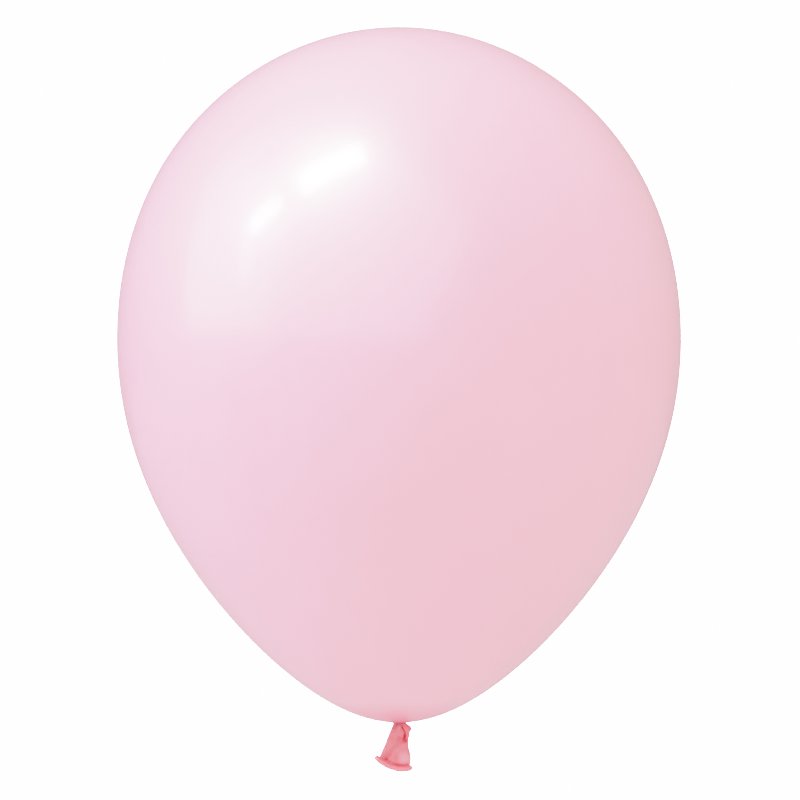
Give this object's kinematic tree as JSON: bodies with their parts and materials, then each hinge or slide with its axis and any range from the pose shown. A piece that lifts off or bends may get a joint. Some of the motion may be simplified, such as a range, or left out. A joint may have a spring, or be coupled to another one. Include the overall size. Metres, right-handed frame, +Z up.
{
  "type": "latex balloon",
  "caption": "Round inflated latex party balloon with a gathered neck, tied overhand knot and flared tail with a rolled rim.",
  "frame": {"origin": "centre of the tie groove in the gathered neck, between the envelope and the knot", "axes": "+Z up through the crown, the flattened tail hangs towards -Z and faces -Y"},
  "size_m": [0.2999, 0.3, 0.3967],
  "materials": {
    "envelope": "stretched thin latex, pale pastel pink, satin with soft sharp highlights",
    "neck_stem": "gathered latex, pink, satin",
    "knot": "relaxed latex, deeper pink, matt satin",
    "tail": "relaxed latex, deeper pink, matt satin",
    "rolled_rim": "rolled latex bead, pink, satin"
  },
  "bodies": {
    "balloon": {"envelope": "envelope"},
    "neck": {"neck_stem": "neck_stem"},
    "knot": {"knot_core": "knot", "knot_loop": "knot"},
    "tail": {"tail": "tail", "rolled_rim": "rolled_rim"}
  },
  "joints": [
    {"name": "neck_twist", "type": "hinge", "parent": "balloon", "child": "neck", "pos_m": [0, 0, 0], "axis": [0, 0, 1], "range_deg": [-90, 90], "stiffness_Nm_per_rad": 0.00005},
    {"name": "knot_tilt", "type": "hinge", "parent": "neck", "child": "knot", "pos_m": [0, 0, -0.004], "axis": [0, 1, 0], "range_deg": [-20, 20], "stiffness_Nm_per_rad": 0.0001},
    {"name": "tail_flop", "type": "hinge", "parent": "knot", "child": "tail", "pos_m": [0, 0, -0.0097], "axis": [1, 0, 0], "range_deg": [-50, 50], "stiffness_Nm_per_rad": 0.00004}
  ]
}
